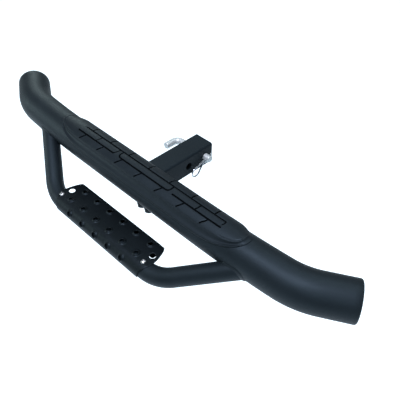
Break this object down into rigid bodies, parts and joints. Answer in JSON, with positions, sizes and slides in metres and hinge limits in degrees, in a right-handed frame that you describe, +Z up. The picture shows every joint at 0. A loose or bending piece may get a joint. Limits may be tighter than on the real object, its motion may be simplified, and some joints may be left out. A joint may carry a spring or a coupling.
{
  "type": "hitch receiver step",
  "caption": "Bent round step tube with a moulded tread pad, a lower loop carrying a punched sheet tray, and a square shank with a hitch pin and spring clip.",
  "frame": {"origin": "centre of the free pin hole, on the axis of the square shank", "axes": "+X along the step tube, to the right in the picture; +Y along the shank to the vehicle; +Z up"},
  "size_m": [0.9896, 0.3163, 0.1432],
  "materials": {
    "powder_coat": "fine textured satin",
    "cap_plastic": "matte",
    "pad_rubber": "matte moulded",
    "clip_plastic": "natural nylon",
    "zinc_steel": "bright zinc plate",
    "stainless": "satin",
    "black_steel": "black oxide"
  },
  "bodies": {
    "frame": {"main_tube": "powder_coat", "end_cap_left": "cap_plastic", "end_cap_right": "cap_plastic", "step_pad": "pad_rubber", "pad_clips": "clip_plastic", "hitch_shank": "powder_coat", "loop_tube": "powder_coat", "step_tray": "powder_coat", "tray_screws": "stainless", "tray_rivet_nuts": "zinc_steel", "saddle_block": "powder_coat", "saddle_bolts": "black_steel", "saddle_washers": "black_steel", "saddle_nuts": "black_steel"},
    "pin": {"hitch_pin": "zinc_steel"},
    "clip": {"pin_clip": "zinc_steel"}
  },
  "joints": [
    {"name": "pin_slide", "type": "slide", "parent": "frame", "child": "pin", "axis": [1, 0, 0], "range_m": [-0.003, 0.022]},
    {"name": "clip_pull", "type": "slide", "parent": "pin", "child": "clip", "axis": [0, -0.9563, -0.2924], "range_m": [0, 0.03]}
  ]
}
